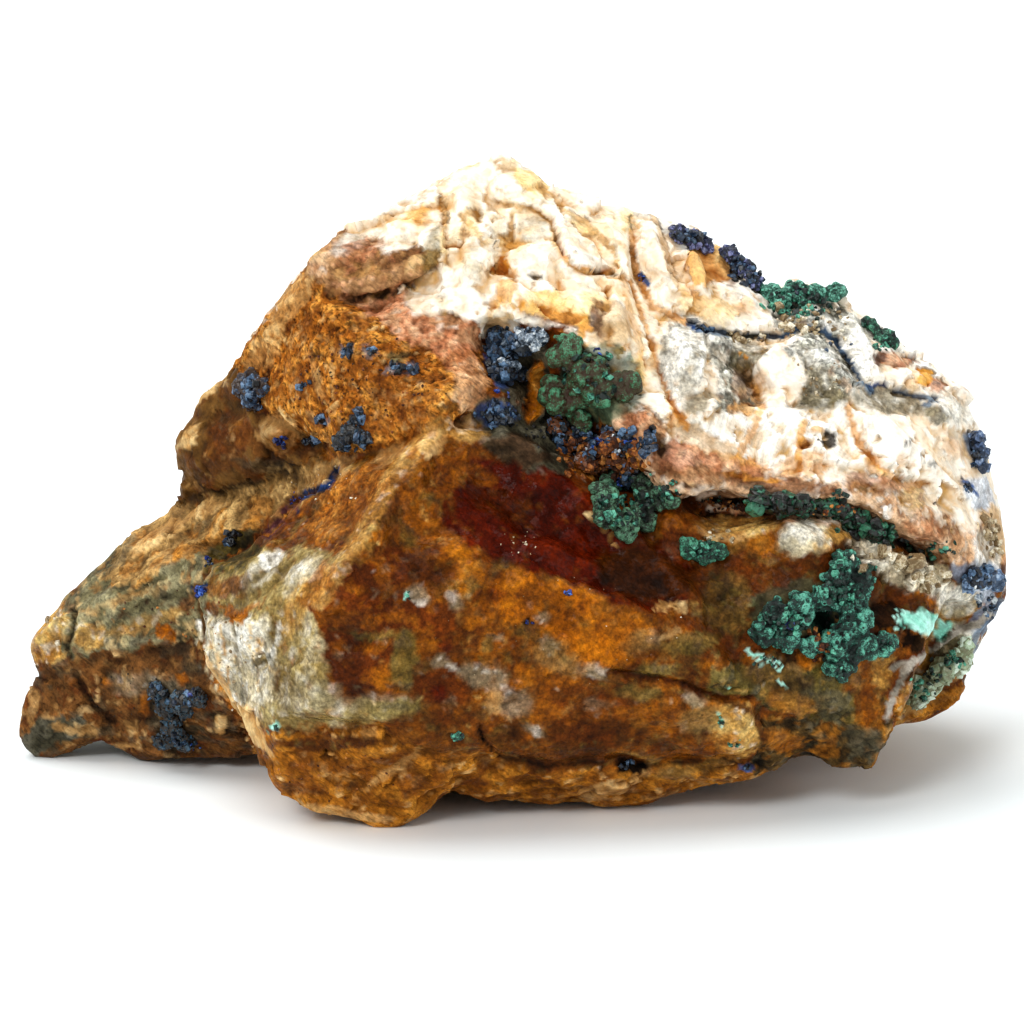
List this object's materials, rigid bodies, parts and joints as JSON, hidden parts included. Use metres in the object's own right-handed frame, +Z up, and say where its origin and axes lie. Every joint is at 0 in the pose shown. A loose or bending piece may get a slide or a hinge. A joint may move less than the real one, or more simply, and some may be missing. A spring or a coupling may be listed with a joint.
{
  "type": "azurite and malachite specimen",
  "caption": "Broken lump of quartz, feldspar and brown iron oxide with green malachite and blue azurite crusts, resting on its own feet.",
  "frame": {"origin": "centre of the bounding box at its base, on the surface that the lump rests on", "axes": "+X to the right as the lump is seen from the front, along its length; +Y to its back; +Z up"},
  "size_m": [0.0994, 0.058, 0.0616],
  "materials": {
    "host_rock": "rough broken quartz and feldspar stained by brown iron oxide, with glassy patches",
    "malachite": "satin green crust of small balls",
    "azurite": "glossy dark blue crust of small crystals"
  },
  "bodies": {
    "root": {"host_rock": "host_rock", "malachite_front": "malachite", "malachite_seam": "malachite", "malachite_heart": "malachite", "malachite_ring": "malachite", "malachite_pair": "malachite", "malachite_crown": "malachite", "malachite_ball": "malachite", "malachite_flank": "malachite", "azurite_crest_left": "azurite", "azurite_crest_right": "azurite", "azurite_heart": "azurite", "azurite_pocket": "azurite", "azurite_shoulder": "azurite", "azurite_button": "azurite", "azurite_tail": "azurite", "azurite_flank": "azurite", "azurite_edge": "azurite"}
  },
  "joints": []
}
